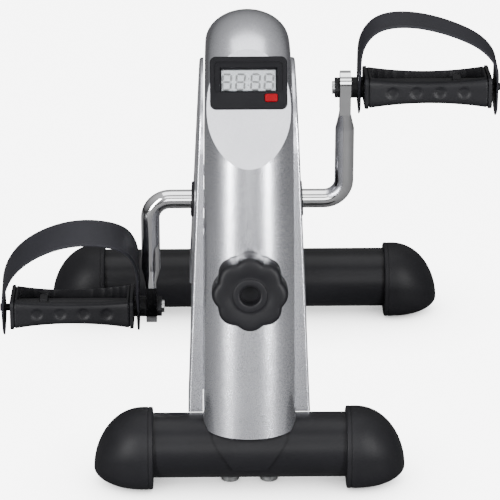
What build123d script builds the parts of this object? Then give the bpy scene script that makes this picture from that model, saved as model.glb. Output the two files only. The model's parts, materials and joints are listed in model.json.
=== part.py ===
"""Free-standing pedal exerciser: an A-shaped housing on two floor tubes, with a bent crank and two strapped pedals.

Millimetres. X runs to the right, Y to the rear and Z up. The pieces are drawn with the origin on the floor, midway
between the two tubes, and written with it under the middle of the overall box, which is SET_BACK further forward.
"""

from build123d import *

import os
from math import atan2, cos, hypot, radians, sin, sqrt

os.makedirs("parts", exist_ok=True)

# ---------------------------------------------------------------- driving dimensions
SET_BACK = 4.25                 # from the middle of the overall box to the middle between the tubes
STANCE = 298.0                  # distance between the two floor tubes
TUBE_RADIUS = 25.0
TUBE_WALL = 1.5
TUBE_HEIGHT = 30.0              # axis of the floor tubes above the floor
FRONT_LENGTH = 240.0            # over the end caps
REAR_LENGTH = 330.0
FOOT_LENGTH = 46.0              # one end cap, along the tube
FOOT_BAND = 7.0                 # its straight rim
FOOT_RADIUS = 29.6
FOOT_CORNER = 13.0
FOOT_NOSE = 12.0                # height of the cap's nose
FOOT_SOCKET = 16.0              # how far the tube goes into its cap

HOUSING_BASE = 50.0             # lower edge of the housing
FRONT_TOE = -178.0              # front line of the housing, at the lower edge
CROWN_RADIUS = 97.0             # round top of the housing, in side view
CROWN_Y = -48.1
CROWN_Z = 245.4
BROW_RADIUS = 60.0              # bend between the front line and the crown
REAR_TOE = 178.0                # rear line, at the lower edge
STRIP_LOW = 35.4                # the central strip: half its width at the lower edge
STRIP_HIGH = 31.5               # and where the crown ends at the back
STRIP_BULGE = 25.0              # depth of its rounded face
STRIP_SIDE = 18.0               # and of its straight sides
SHELL_WALL = 2.4

CHEEK_INSET = 37.0              # from the outline of the strip to the cheek's border
CHEEK_EDGE = 2.0
CHEEK_LOW = 47.0                # half width over the cheeks, at the lower edge
CHEEK_HIGH = 36.6               # and at the top
CHEEK_TOP = 300.0
ARCH_LIP = 0.1                  # half the gap where the two cheeks meet
GROMMET_NECK = 11.5
GROMMET_FLANGE = 14.0
ARCH_HALF = 95.0                # opening between the legs, at the lower edge
ARCH_RISE = 75.0

FACET_LOW = (-144.2, 258.3)     # flat face of the display, lower and upper ends (Y, Z)
FACET_HIGH = (-90.4, 332.8)
CONSOLE_UP = 65.7               # centre of the display, up the flat face
CONSOLE_WIDTH = 57.5
CONSOLE_HEIGHT = 40.5
CONSOLE_CORNER = 4.6
CONSOLE_DEPTH = 12.0
CONSOLE_PROUD = 1.8
WINDOW_WIDTH = 43.6
WINDOW_HEIGHT = 19.0
WINDOW_UP = 2.6
SURROUND = (51.0, 23.6)         # shallow recess round the window
SURROUND_UP = 4.2
SURROUND_DEPTH = 0.8
BUTTON_SIZE = (9.6, 6.0)
BUTTON_AT = (16.7, -11.8)
BUTTON_TRAVEL = 1.2

AXLE_Y = -12.0
AXLE_Z = 176.0
ROD_RADIUS = 7.5
ARM_X = 76.5                    # centre line of the crank arms
CRANK_RADIUS = 94.0
CRANK_BEND = 16.0
PALM_THICKNESS = 8.5            # flattened ends of the rod
PALM_WIDTH = 18.0
PALM_TIP = 13.5                 # from the spindle to the end

PLATE_X = 24.0                  # inner faces of the frame's side plates
PLATE_THICKNESS = 3.0
BASE_THICKNESS = 3.0
SADDLE_THICKNESS = 3.0
SADDLE_HALF = (24.0, 13.0)      # half sizes in X and Y
APRON_HALF = (28.0, 12.5)       # half widths of its curved apron, top and bottom
APRON_NECK = 20.0               # half width where it passes into the housing
APRON_THICKNESS = 2.2
APRON_DROP = 34.0               # how far the apron reaches down the tube's outer side
BUSH_RADIUS = 11.0
RUNNING_GAP = 0.05              # radial, in bushes and pedal bores
FREE_GAP = 0.4                  # between pieces that pass each other

DRUM_RADIUS = 38.0
DRUM_WIDTH = 16.0
BAND_THICKNESS = 0.8
FELT_THICKNESS = 2.0
KNOB_Z = 169.0                  # where the knob's axis meets the front of the strip
KNOB_RADIUS = 28.5
KNOB_DEPTH = 24.0
KNOB_LOBES = 8
SCREW_RADIUS = 3.0
SCREW_PITCH = 1.25
SCREW_LENGTH = 92.0

SPINDLE_RADIUS = 5.0
BOSS_RADIUS = 8.2
PEDAL_IN = 93.5                 # inner end of the pedal
PEDAL_LENGTH = 92.5
PEDAL_DEPTH = 46.0
PEDAL_HEIGHT = 25.0
PEDAL_WAIST = (0.87, 0.74)      # depth and height at the middle, as shares of the ends
PEDAL_WALL = 2.6
PEDAL_POCKET = 8.6              # width of the trough either side of the spindle's tube
PEDAL_RIB = 6.0                 # the cross rib in the trough
PEDAL_RIB_AT = 23.0             # outwards from the pedal's middle
PEDAL_TILT = 7.0                # front edge up at rest, degrees
PEDAL_CORNER = 5.0
END_THICKNESS = 3.0             # end plates of the pedal
STRAP_WIDTH = 30.0
STRAP_THICKNESS = 3.0
RIGHT_LEAN = 3.0                # each strap's lean to the front, degrees
LEFT_LEAN = 18.0

# ---------------------------------------------------------------- places that follow
FRONT_Y = -STANCE / 2
REAR_Y = STANCE / 2
TUBE_TOP = TUBE_HEIGHT + TUBE_RADIUS
BASE_Z = TUBE_TOP + SADDLE_THICKNESS
BOLT_SPOTS = (-15.0, 15.0)      # the two bolts that hold a tube
BOLT_RADIUS = 4.0

# front line, crown and rear line of the housing in side view, as (Y, Z)
CROWN = Vector(CROWN_Y, CROWN_Z)
TOE = Vector(FRONT_TOE, HOUSING_BASE)
HEEL = Vector(REAR_TOE, HOUSING_BASE)


def tangent_point(outside, radius, side):
    """The point where a line from outside touches a circle round the crown's centre."""
    offset = outside - CROWN
    reach = hypot(offset.X, offset.Y)
    bearing = atan2(offset.Y, offset.X)
    swing = radians(90) - atan2(radius, sqrt(reach**2 - radius**2))
    angle = bearing + side * swing
    return CROWN + Vector(cos(angle), sin(angle)) * radius


BROW_LOW = tangent_point(TOE, CROWN_RADIUS, -1)
BROW_RISE = 53.1                # how far the front line runs on above the crown's tangent
UP_FRONT = (BROW_LOW - TOE).normalized()
BROW = BROW_LOW + UP_FRONT * BROW_RISE
BROW_HIGH = tangent_point(BROW, CROWN_RADIUS, -1)
NAPE = tangent_point(HEEL, CROWN_RADIUS, 1)
CROWN_TOP = CROWN + Vector(0, CROWN_RADIUS)


def side(point):
    """A (Y, Z) point in the plane X = 0."""
    return (0, point.X, point.Y)


def save(piece, label):
    """Moves a finished piece to the shared origin, labels it and writes its file."""
    placed = Pos(0, SET_BACK, 0) * piece.part
    placed.label = label
    export_step(placed, f"parts/{label}.step")


# ---------------------------------------------------------------- floor tubes and their feet
def floor_tube(y, length, label):
    """A steel tube along X, with two upright bolt holes."""
    span = length - 2 * (FOOT_LENGTH - FOOT_SOCKET)
    with BuildPart() as tube:
        with BuildSketch(Plane.YZ.offset(-span / 2)):
            with Locations((y, TUBE_HEIGHT)):
                Circle(TUBE_RADIUS)
                Circle(TUBE_RADIUS - TUBE_WALL, mode=Mode.SUBTRACT)
        extrude(amount=span)
        with BuildSketch(Plane.XY):
            with Locations(*[(x, y) for x in BOLT_SPOTS]):
                Circle(BOLT_RADIUS + 0.1)
        extrude(amount=TUBE_TOP + 1, mode=Mode.SUBTRACT)
    save(tube, label)


def foot_section(x, y, size):
    """The end cap's outline across the tube, shrunk towards its nose: round above, with two small corners below."""
    r = FOOT_RADIUS * size
    corner = FOOT_CORNER * size
    low = FOOT_NOSE * (1 - size)
    middle = FOOT_NOSE + (TUBE_HEIGHT - FOOT_NOSE) * size
    turn = corner * (1 - sin(radians(45)))
    with BuildSketch(Plane.YZ.offset(x)) as section:
        with BuildLine():
            ThreePointArc((y + r, middle), (y, middle + r), (y - r, middle))
            Line((y - r, middle), (y - r, low + corner))
            ThreePointArc(
                (y - r, low + corner), (y - r + turn, low + turn), (y - r + corner, low)
            )
            Line((y - r + corner, low), (y + r - corner, low))
            ThreePointArc(
                (y + r - corner, low), (y + r - turn, low + turn), (y + r, low + corner)
            )
            Line((y + r, low + corner), (y + r, middle))
        make_face()
    return section.sketch


def foot(y, length, hand, label):
    """A moulded end cap: a straight rim, then a dome that falls to a low nose."""
    rim = length / 2 - FOOT_LENGTH
    dome = FOOT_LENGTH - FOOT_BAND
    sections = [
        foot_section(hand * (rim + FOOT_BAND + dome * share), y, (1 - share**2.1) ** (1 / 1.9))
        for share in (0, 0.3, 0.55, 0.75, 0.89, 0.97, 0.995)
    ]
    with BuildPart() as cap:
        loft(sections)
        extrude(foot_section(hand * rim, y, 1), amount=hand * FOOT_BAND)
        with BuildSketch(Plane.YZ.offset(hand * rim)):
            with Locations((y, TUBE_HEIGHT)):
                Circle(TUBE_RADIUS)
        extrude(amount=hand * FOOT_SOCKET, mode=Mode.SUBTRACT)
    save(cap, label)


floor_tube(FRONT_Y, FRONT_LENGTH, "front_stabiliser_tube")
floor_tube(REAR_Y, REAR_LENGTH, "rear_stabiliser_tube")
for hand, side_name in ((-1, "left"), (1, "right")):
    foot(FRONT_Y, FRONT_LENGTH, hand, f"front_{side_name}_foot")
    foot(REAR_Y, REAR_LENGTH, hand, f"rear_{side_name}_foot")


# ---------------------------------------------------------------- saddles, frame and bolts
def saddle(y, outward, label):
    """A block with a round underside that sits on a tube, with a tapering apron down the outer side."""
    shoulder = HOUSING_BASE - FREE_GAP
    with BuildPart() as apron:
        with BuildSketch(Plane.YZ.offset(-APRON_HALF[0])):
            with Locations((y, TUBE_HEIGHT)):
                Circle(TUBE_RADIUS + APRON_THICKNESS)
                Circle(TUBE_RADIUS, mode=Mode.SUBTRACT)
        extrude(amount=2 * APRON_HALF[0])
        with BuildSketch(Plane.XZ.offset(-y)):
            with BuildLine():
                outline = Polyline(
                    (0, BASE_Z),
                    (APRON_NECK, BASE_Z),
                    (APRON_NECK, shoulder),
                    (APRON_HALF[0], shoulder),
                    (APRON_HALF[0], shoulder - 4),
                    (APRON_HALF[1], TUBE_TOP - APRON_DROP),
                    (0, TUBE_TOP - APRON_DROP),
                )
                mirror(outline, about=Plane.YZ)
            make_face()
        extrude(amount=-outward * 2 * TUBE_RADIUS, mode=Mode.INTERSECT)
    with BuildPart() as block:
        with BuildSketch(Plane.YZ.offset(-SADDLE_HALF[0])):
            with Locations((y, BASE_Z - 9)):
                Rectangle(2 * SADDLE_HALF[1], 18)
            with Locations((y, TUBE_HEIGHT)):
                Circle(TUBE_RADIUS, mode=Mode.SUBTRACT)
        extrude(amount=2 * SADDLE_HALF[0])
        add(apron.part)
        with BuildSketch(Plane.XY.offset(TUBE_HEIGHT)):
            with Locations(*[(x, y) for x in BOLT_SPOTS]):
                Circle(BOLT_RADIUS + 0.1)
        extrude(amount=TUBE_RADIUS + SADDLE_THICKNESS + 1, mode=Mode.SUBTRACT)
    save(block, label)


saddle(FRONT_Y, -1, "front_saddle")
saddle(REAR_Y, 1, "rear_saddle")

PLATE_FOOT = 18.0               # the frame's footprint on a saddle, inwards from the tube's axis
PLATE_TOE = 7.0                 # and outwards
ANCHOR = (AXLE_Y + 47, AXLE_Z - 8)      # bar at the fixed end of the brake band
FRAME_OUTLINE = [
    (FRONT_Y - PLATE_TOE, BASE_Z),
    (AXLE_Y - 30, AXLE_Z + 32),
    (AXLE_Y + 34, AXLE_Z + 32),
    (REAR_Y + PLATE_TOE, BASE_Z),
    (REAR_Y - PLATE_FOOT, BASE_Z),
    (AXLE_Y + 46, AXLE_Z - 26),
    (AXLE_Y - 34, AXLE_Z - 26),
    (FRONT_Y + PLATE_FOOT, BASE_Z),
]
SCREW_PLACES = [(FRONT_Y + 45, 106), (REAR_Y - 67, 112), (AXLE_Y, AXLE_Z + 25)]

with BuildPart() as frame:
    for x in (-PLATE_X - PLATE_THICKNESS, PLATE_X):
        with BuildSketch(Plane.YZ.offset(x)):
            with BuildLine():
                Polyline(*FRAME_OUTLINE, close=True)
            make_face()
            with Locations((AXLE_Y, AXLE_Z)):
                Circle(BUSH_RADIUS, mode=Mode.SUBTRACT)
        extrude(amount=PLATE_THICKNESS)
    for y in (FRONT_Y, REAR_Y):
        with BuildSketch(Plane.XY.offset(BASE_Z)):
            with Locations((0, y)):
                Rectangle(2 * (PLATE_X + PLATE_THICKNESS), 2 * PLATE_TOE)
            with Locations(*[(x, y) for x in BOLT_SPOTS]):
                Circle(BOLT_RADIUS + 0.1, mode=Mode.SUBTRACT)
        extrude(amount=BASE_THICKNESS)
    # tie bar that anchors the brake band
    with BuildSketch(Plane.YZ.offset(-PLATE_X)):
        with Locations(ANCHOR):
            Circle(4)
    extrude(amount=2 * PLATE_X)
save(frame, "frame")

NUT_Z = BASE_Z + BASE_THICKNESS + 1.6
with BuildPart() as bolts:
    for y in (FRONT_Y, REAR_Y):
        with BuildSketch(Plane.XY.offset(TUBE_HEIGHT - TUBE_RADIUS - 4)):
            with Locations(*[(x, y) for x in BOLT_SPOTS]):
                Circle(7)
        extrude(amount=4)
        with BuildSketch(Plane.XY.offset(TUBE_HEIGHT - TUBE_RADIUS)):
            with Locations(*[(x, y) for x in BOLT_SPOTS]):
                Circle(BOLT_RADIUS)
        extrude(amount=NUT_Z + 9 - TUBE_HEIGHT + TUBE_RADIUS)
save(bolts, "stabiliser_bolts")

with BuildPart() as washers:
    for y in (FRONT_Y, REAR_Y):
        with BuildSketch(Plane.XY.offset(BASE_Z + BASE_THICKNESS)):
            with Locations(*[(x, y) for x in BOLT_SPOTS]):
                Circle(8)
                Circle(BOLT_RADIUS + 0.1, mode=Mode.SUBTRACT)
        extrude(amount=1.6)
save(washers, "stabiliser_washers")

with BuildPart() as nuts:
    for y in (FRONT_Y, REAR_Y):
        with BuildSketch(Plane.XY.offset(NUT_Z)):
            with Locations(*[(x, y) for x in BOLT_SPOTS]):
                RegularPolygon(7.5, 6)
                Circle(BOLT_RADIUS, mode=Mode.SUBTRACT)
        extrude(amount=6.5)
save(nuts, "stabiliser_nuts")


# ---------------------------------------------------------------- bushes, crank and brake
def ring(x, length, inner, outer, label, y=AXLE_Y, z=AXLE_Z):
    """A plain ring along X."""
    with BuildPart() as piece:
        with BuildSketch(Plane.YZ.offset(x)):
            with Locations((y, z)):
                Circle(outer)
                Circle(inner, mode=Mode.SUBTRACT)
        extrude(amount=length)
    save(piece, label)


BUSH_FLANGE = 2.0
for hand, side_name in ((-1, "left"), (1, "right")):
    facing = Plane(origin=(hand * PLATE_X, AXLE_Y, AXLE_Z), x_dir=(0, 1, 0), z_dir=(hand, 0, 0))
    with BuildPart() as bush:
        with BuildSketch(facing):
            Circle(BUSH_RADIUS)
            Circle(ROD_RADIUS + RUNNING_GAP, mode=Mode.SUBTRACT)
        extrude(amount=PLATE_THICKNESS)
        with BuildSketch(facing):
            Circle(BUSH_RADIUS + 3)
            Circle(ROD_RADIUS + RUNNING_GAP, mode=Mode.SUBTRACT)
        extrude(amount=-BUSH_FLANGE)
    save(bush, f"{side_name}_bush")
    collar_x = hand * (PLATE_X + PLATE_THICKNESS + FREE_GAP + 3) - 3
    ring(collar_x, 6, ROD_RADIUS, ROD_RADIUS + 5, f"{side_name}_collar")

ARM_END = CRANK_RADIUS - 20     # where the round rod turns into the flat end
HUB_HALF = 15.0
with BuildPart() as crankshaft:
    with BuildLine():
        FilletPolyline(
            (-ARM_X, AXLE_Y, AXLE_Z - ARM_END + 14),
            (-ARM_X, AXLE_Y, AXLE_Z),
            (ARM_X, AXLE_Y, AXLE_Z),
            (ARM_X, AXLE_Y, AXLE_Z + ARM_END - 14),
            radius=CRANK_BEND,
        )
    with BuildSketch(Plane.XY.offset(AXLE_Z - ARM_END + 14)):
        with Locations((-ARM_X, AXLE_Y)):
            Circle(ROD_RADIUS)
    sweep()
    for hand in (-1, 1):
        start = AXLE_Z + hand * (ARM_END - 14)
        palm = AXLE_Z + hand * ARM_END
        spindle = AXLE_Z + hand * CRANK_RADIUS
        with BuildSketch(Plane.XY.offset(start)):
            with Locations((hand * ARM_X, AXLE_Y)):
                Circle(ROD_RADIUS)
        with BuildSketch(Plane.XY.offset(palm)):
            with Locations((hand * ARM_X, AXLE_Y)):
                RectangleRounded(PALM_THICKNESS, PALM_WIDTH, 3)
        loft()
        with BuildSketch(Plane.YZ.offset(hand * ARM_X - PALM_THICKNESS / 2)):
            with Locations((AXLE_Y, spindle)):
                Circle(PALM_WIDTH / 2)
            with Locations((AXLE_Y, (palm + spindle) / 2)):
                Rectangle(PALM_WIDTH, abs(spindle - palm))
            with Locations((AXLE_Y, spindle + hand * (PALM_TIP - PALM_WIDTH / 2))):
                Circle(PALM_WIDTH / 2)
            with Locations((AXLE_Y, spindle + hand * (PALM_TIP - PALM_WIDTH / 2) / 2)):
                Rectangle(PALM_WIDTH, PALM_TIP - PALM_WIDTH / 2)
            with Locations((AXLE_Y, spindle)):
                Circle(SPINDLE_RADIUS, mode=Mode.SUBTRACT)
        extrude(amount=PALM_THICKNESS)
    with BuildSketch(Plane.XY.offset(AXLE_Z - HUB_HALF)):
        with Locations((0, AXLE_Y)):
            Circle(2)
    extrude(amount=2 * HUB_HALF, mode=Mode.SUBTRACT)
save(crankshaft, "crankshaft")

with BuildPart() as drum:
    with BuildSketch(Plane.YZ.offset(-DRUM_WIDTH / 2)):
        with Locations((AXLE_Y, AXLE_Z)):
            Circle(DRUM_RADIUS)
            Circle(DRUM_RADIUS - 4, mode=Mode.SUBTRACT)
            Circle(ROD_RADIUS + 5)
            Circle(ROD_RADIUS, mode=Mode.SUBTRACT)
    extrude(amount=DRUM_WIDTH)
    with BuildSketch(Plane.YZ.offset(-2)):
        with Locations((AXLE_Y, AXLE_Z)):
            Circle(DRUM_RADIUS - 2)
            Circle(ROD_RADIUS, mode=Mode.SUBTRACT)
    extrude(amount=4)
    with BuildSketch(Plane.XY.offset(AXLE_Z - HUB_HALF)):
        with Locations((0, AXLE_Y)):
            Circle(2)
    extrude(amount=2 * HUB_HALF, mode=Mode.SUBTRACT)
save(drum, "brake_drum")

PIN_HALF = 12.0
with BuildPart() as pin:
    with BuildSketch(Plane.XY.offset(AXLE_Z - PIN_HALF)):
        with Locations((0, AXLE_Y)):
            Circle(2)
    extrude(amount=2 * PIN_HALF)
save(pin, "drum_pin")

MAGNET_AT = (AXLE_Y - 24, AXLE_Z)
with BuildPart() as magnet:
    with BuildSketch(Plane.YZ.offset(2)):
        with Locations(MAGNET_AT):
            Circle(4)
    extrude(amount=5)
save(magnet, "magnet")

# the band wraps over the drum, from the anchor bar at the rear to the spring at the front
FELT_IN = DRUM_RADIUS + FREE_GAP
BAND_IN = FELT_IN + FELT_THICKNESS
BAND_WIDTH = 12.0


BAND_OUT = BAND_IN + BAND_THICKNESS
BAND_DROP = 10.0                # how far the strip's ends reach below the axle

with BuildPart() as felt:
    with BuildSketch(Plane.YZ.offset(-BAND_WIDTH / 2)):
        with Locations((AXLE_Y, AXLE_Z)):
            Circle(BAND_IN)
            Circle(FELT_IN, mode=Mode.SUBTRACT)
        with Locations((AXLE_Y, AXLE_Z - BAND_DROP - BAND_OUT)):
            Rectangle(3 * BAND_OUT, 2 * BAND_OUT, mode=Mode.SUBTRACT)
    extrude(amount=BAND_WIDTH)
save(felt, "brake_felt")

# knob axis, square to the front line
INWARD = Vector(0, UP_FRONT.Y, -UP_FRONT.X)
KNOB_SEAT = Vector(side(TOE + UP_FRONT * ((KNOB_Z - HOUSING_BASE) / UP_FRONT.Y)))
KNOB_PLANE = Plane(origin=KNOB_SEAT, x_dir=(1, 0, 0), z_dir=(-INWARD.X, -INWARD.Y, -INWARD.Z))

with BuildPart() as knob:
    with BuildSketch(KNOB_PLANE.offset(FREE_GAP)):
        Circle(KNOB_RADIUS - 4)
        with PolarLocations(KNOB_RADIUS - 8, KNOB_LOBES, start_angle=90):
            Circle(8)
    extrude(amount=KNOB_DEPTH)
    fillet(knob.faces().sort_by(Axis(KNOB_SEAT, KNOB_PLANE.z_dir))[-1].outer_wire().edges(), 1.8)
    with BuildSketch(KNOB_PLANE.offset(KNOB_DEPTH - 10)):
        Circle(7.5)
    extrude(amount=12, mode=Mode.SUBTRACT)
    with BuildSketch(KNOB_PLANE.offset(FREE_GAP)):
        Circle(SCREW_RADIUS)
    extrude(amount=8, mode=Mode.SUBTRACT)
save(knob, "tension_knob")

with BuildPart() as screw:
    with BuildSketch(KNOB_PLANE.offset(FREE_GAP + 8)):
        Circle(SCREW_RADIUS)
    extrude(amount=-SCREW_LENGTH)
save(screw, "tension_screw")

with BuildPart() as knob_washer:
    with BuildSketch(KNOB_PLANE.offset(-SHELL_WALL - 3)):
        Circle(8)
        Circle(SCREW_RADIUS + RUNNING_GAP, mode=Mode.SUBTRACT)
    extrude(amount=2)
save(knob_washer, "knob_washer")

NUT_DEPTH = 66.0                # the nut's middle, inward from the strip's face
NUT_SIZE = 12.0
with BuildPart() as nut:
    with BuildSketch(KNOB_PLANE.offset(-NUT_DEPTH - NUT_SIZE / 2)):
        Rectangle(NUT_SIZE, NUT_SIZE)
        with Locations((0, NUT_SIZE * 0.8)):
            Rectangle(4, NUT_SIZE)
        Circle(SCREW_RADIUS + RUNNING_GAP, mode=Mode.SUBTRACT)
    extrude(amount=NUT_SIZE)
save(nut, "tension_nut")

# the band's front end stands up to meet the spring, which pulls it towards the nut
SPRING_UP = 11.0                # height of the spring above the screw
TAB_DEPTH = 103.5               # inward from the strip's face
with BuildPart() as band:
    with BuildSketch(Plane.YZ.offset(-BAND_WIDTH / 2)):
        with Locations((AXLE_Y, AXLE_Z)):
            Circle(BAND_OUT)
            Circle(BAND_IN, mode=Mode.SUBTRACT)
        with Locations((AXLE_Y, AXLE_Z - BAND_DROP - BAND_OUT)):
            Rectangle(3 * BAND_OUT, 2 * BAND_OUT, mode=Mode.SUBTRACT)
        with Locations((ANCHOR[0] - 5.1, ANCHOR[1] + 3)):
            Rectangle(2, 7)
    extrude(amount=BAND_WIDTH)
    with BuildSketch(KNOB_PLANE.offset(-TAB_DEPTH)):
        with Locations((0, SPRING_UP)):
            Rectangle(BAND_WIDTH, 12)
    extrude(amount=-3)
    with BuildSketch(Plane.YZ.offset(-BAND_WIDTH / 2)):
        with Locations((AXLE_Y, AXLE_Z)):
            Circle(BAND_IN)
    extrude(amount=BAND_WIDTH, mode=Mode.SUBTRACT)
save(band, "brake_band")

SPRING_START = NUT_DEPTH + NUT_SIZE / 2
SPRING_LENGTH = TAB_DEPTH - SPRING_START
WIRE_RADIUS = 0.6
SPRING_AT = KNOB_PLANE.from_local_coords((0, SPRING_UP, -SPRING_START - WIRE_RADIUS - 0.1))
with BuildPart() as spring:
    with BuildLine() as coil:
        Helix(
            pitch=2.8,
            height=SPRING_LENGTH - 2 * WIRE_RADIUS - 0.2,
            radius=3.4,
            center=SPRING_AT,
            direction=-KNOB_PLANE.z_dir,
        )
    with BuildSketch(Plane(origin=coil.line @ 0, z_dir=coil.line % 0)):
        Circle(WIRE_RADIUS)
    sweep(path=coil.line)
save(spring, "brake_spring")


# ---------------------------------------------------------------- housing
def strip_section(plane, half, bulge, extra):
    """The strip's outline on a plane: a round face, straight sides and an inner edge moved inwards by extra."""
    low = -STRIP_BULGE - STRIP_SIDE - extra
    with BuildSketch(plane) as section:
        with BuildLine():
            edge = EllipticalCenterArc((0, -STRIP_BULGE), half, bulge, arc_size=180)
            Polyline(edge @ 1, (-half, low), (half, low), edge @ 0)
        make_face()
    return section.sketch


# the strip's path, up the front line and over the crown; it narrows evenly on the way
with BuildLine() as brow:
    FilletPolyline(side(TOE), side(BROW), side(BROW_HIGH), radius=BROW_RADIUS)
with BuildLine() as crown:
    ThreePointArc(side(BROW_HIGH), side(CROWN_TOP), side(NAPE))
STRIP_PATH = Wire(brow.edges() + crown.edges())
STRIP_TAPER = (STRIP_LOW - STRIP_HIGH) / STRIP_PATH.length


FACET_RUN = Vector(FACET_HIGH) - Vector(FACET_LOW)
UP_FACET = FACET_RUN.normalized()
FACET_PLANE = Plane(
    origin=(0, *FACET_LOW), x_dir=(1, 0, 0), z_dir=(0, -UP_FACET.Y, UP_FACET.X)
)
CONSOLE_PLANE = Plane(
    origin=FACET_PLANE.from_local_coords((0, CONSOLE_UP, 0)),
    x_dir=(1, 0, 0),
    z_dir=FACET_PLANE.z_dir,
)


def strip_solid(wall, extra):
    """The filled strip along its path, drawn in by a wall and open inwards by extra."""
    sections = []
    for end, half in ((0, STRIP_LOW), (1, STRIP_HIGH)):
        square = Plane(origin=STRIP_PATH @ end, x_dir=(1, 0, 0), z_dir=-(STRIP_PATH % end))
        sections.append(strip_section(square, half - wall, STRIP_BULGE - wall, extra))
    with BuildPart() as solid:
        sweep(sections, path=STRIP_PATH, multisection=True)
    return solid


HIGH = 400.0                    # longer than anything that is cut
# a box ahead of the flat face, to trim the strip
with BuildPart() as ahead:
    with BuildSketch(FACET_PLANE):
        Rectangle(4 * STRIP_LOW, HIGH)
    extrude(amount=HIGH / 2)
with BuildPart() as ahead_inside:
    with BuildSketch(FACET_PLANE.offset(-SHELL_WALL)):
        Rectangle(4 * STRIP_LOW, HIGH)
    extrude(amount=HIGH / 2)

# room for the floor tubes under the housing
with BuildPart() as tube_room:
    with BuildSketch(Plane.YZ.offset(-HIGH / 2)):
        with Locations((FRONT_Y, TUBE_HEIGHT), (REAR_Y, TUBE_HEIGHT)):
            Circle(TUBE_RADIUS + FREE_GAP)
    extrude(amount=HIGH)

outside_strip = strip_solid(0, 0)
inside_strip = strip_solid(SHELL_WALL, 6)
with BuildPart() as hollow:
    add(inside_strip.part)
    add(ahead_inside.part, mode=Mode.SUBTRACT)

with BuildPart() as front_cover:
    add(outside_strip.part)
    add(ahead.part, mode=Mode.SUBTRACT)
    add(hollow.part, mode=Mode.SUBTRACT)
    # level lower edge
    with BuildSketch(Plane.XY.offset(HOUSING_BASE)):
        Rectangle(HIGH, 2 * HIGH)
    extrude(amount=-40, mode=Mode.SUBTRACT)
    # pocket for the display
    with BuildSketch(CONSOLE_PLANE.offset(-CONSOLE_DEPTH)):
        RectangleRounded(
            CONSOLE_WIDTH - 3 + FREE_GAP, CONSOLE_HEIGHT - 3 + FREE_GAP, CONSOLE_CORNER - 1.5
        )
    extrude(amount=CONSOLE_DEPTH + 5, mode=Mode.SUBTRACT)
    # hole for the tension screw
    with BuildSketch(KNOB_PLANE.offset(-SHELL_WALL - 2)):
        Circle(SCREW_RADIUS + FREE_GAP)
    extrude(amount=SHELL_WALL + 6, mode=Mode.SUBTRACT)
    add(tube_room.part, mode=Mode.SUBTRACT)
save(front_cover, "front_cover")

REAR_RUN = (HEEL - NAPE).normalized()
REAR_PLANE = Plane(
    origin=side(NAPE), x_dir=(-1, 0, 0), z_dir=(0, REAR_RUN.X, REAR_RUN.Y)
)
COVER_GAP = 0.3
COVER_RUN = (HEEL - NAPE).length + 30       # past the lower edge, before it is cut level


def cover_solid(start, wall, extra):
    """The filled rear cover from start below the crown's end, drawn in by a wall."""
    widening = (STRIP_LOW - STRIP_HIGH) / (HEEL - NAPE).length
    with BuildPart() as solid:
        loft(
            [
                strip_section(
                    REAR_PLANE.offset(along),
                    STRIP_HIGH + widening * along - wall,
                    STRIP_BULGE - wall,
                    extra,
                )
                for along in (start, COVER_RUN)
            ]
        )
    return solid


with BuildPart() as rear_cover:
    add(cover_solid(COVER_GAP, 0, 0).part)
    add(cover_solid(0, SHELL_WALL, 6).part, mode=Mode.SUBTRACT)
    with BuildSketch(Plane.XY.offset(HOUSING_BASE)):
        with Locations((0, REAR_TOE)):
            Rectangle(HIGH, HIGH)
    extrude(amount=-80, mode=Mode.SUBTRACT)
    add(tube_room.part, mode=Mode.SUBTRACT)
save(rear_cover, "rear_cover")

# ---- cheeks: the slab inside the strip, wider at the bottom, and the wall round the arch
CHEEK_IN = STRIP_LOW + 0.2
CHEEK_SLOPE = (CHEEK_LOW - CHEEK_HIGH) / (CHEEK_TOP - HOUSING_BASE)


def cheek_half(z):
    """Half the width over the cheeks at a height."""
    return CHEEK_LOW - CHEEK_SLOPE * (z - HOUSING_BASE)


def cheek_inner(z):
    """Half the width between the cheeks at a height, following the strip's taper."""
    return CHEEK_IN - STRIP_TAPER * (z - HOUSING_BASE) / UP_FRONT.Y


def inward_line(start, end, inset):
    """A line's two ends moved square to it, to the housing's inside."""
    run = (end - start).normalized()
    shift = Vector(run.Y, -run.X) * inset
    return start + shift, end + shift


def cheek_outline(inset, floor):
    """Front line, crown and rear line, all drawn in, closed along the floor."""
    front_low, front_high = inward_line(TOE, BROW_LOW, inset)
    rear_high, rear_low = inward_line(NAPE, HEEL, inset)
    front_low = front_low - UP_FRONT * ((front_low.Y - floor) / UP_FRONT.Y)
    rear_low = rear_low + REAR_RUN * ((rear_low.Y - floor) / -REAR_RUN.Y)
    top = CROWN + Vector(0, CROWN_RADIUS - inset)
    return front_low, front_high, top, rear_high, rear_low


def arch_points(grow):
    """The arch's springing points and top, grown outwards by grow."""
    return ARCH_HALF + grow, ARCH_RISE + grow


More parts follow.
